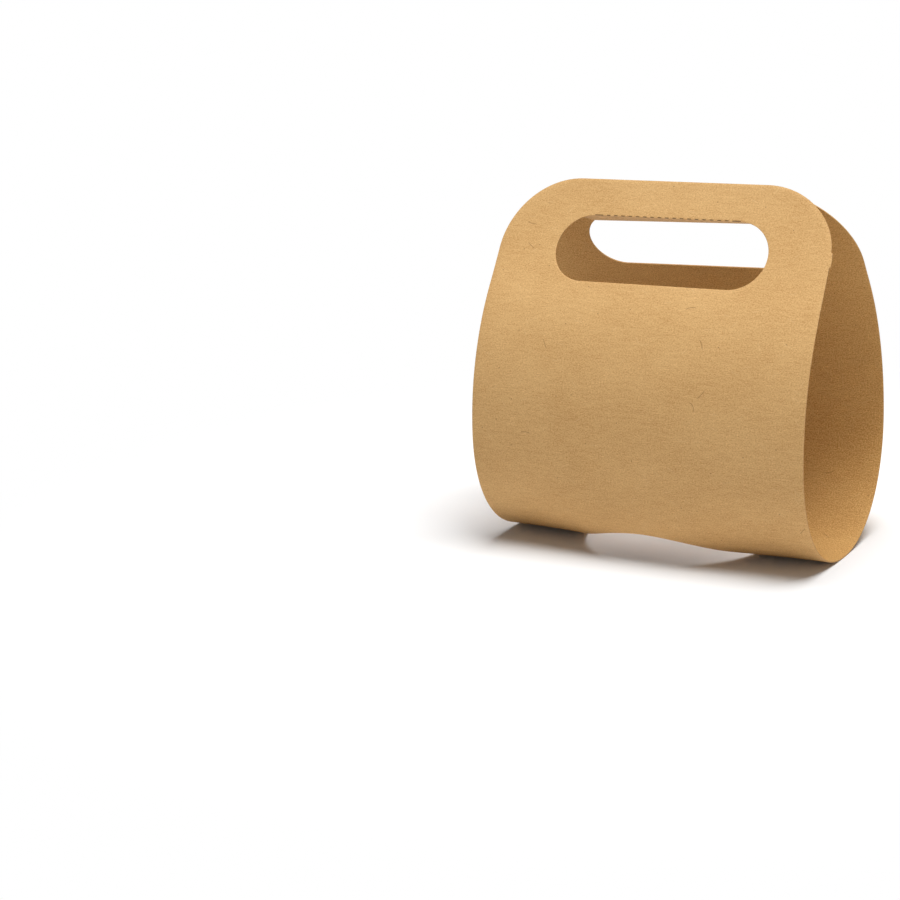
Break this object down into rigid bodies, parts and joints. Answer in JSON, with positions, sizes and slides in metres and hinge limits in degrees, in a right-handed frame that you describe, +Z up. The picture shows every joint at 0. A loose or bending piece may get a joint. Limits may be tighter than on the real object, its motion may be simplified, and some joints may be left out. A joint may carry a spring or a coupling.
{
  "type": "cup carrier",
  "caption": "Kraft cardboard cup carrier: one sheet bent into a teardrop loop, with a cup hole in its bottom and a finger hole through both panels, locked by a folded tongue.",
  "frame": {"origin": "middle of the bottom of the bounding box, under the centre of the cup hole", "axes": "+Z up to the handle, X along the axis of the loop, -Y out of the front panel, whose hole the tongue is cut from"},
  "size_m": [0.152, 0.0968, 0.1575],
  "materials": {
    "kraft_board": "matt natural kraft"
  },
  "bodies": {
    "root": {"carrier_board": "kraft_board"}
  },
  "joints": []
}
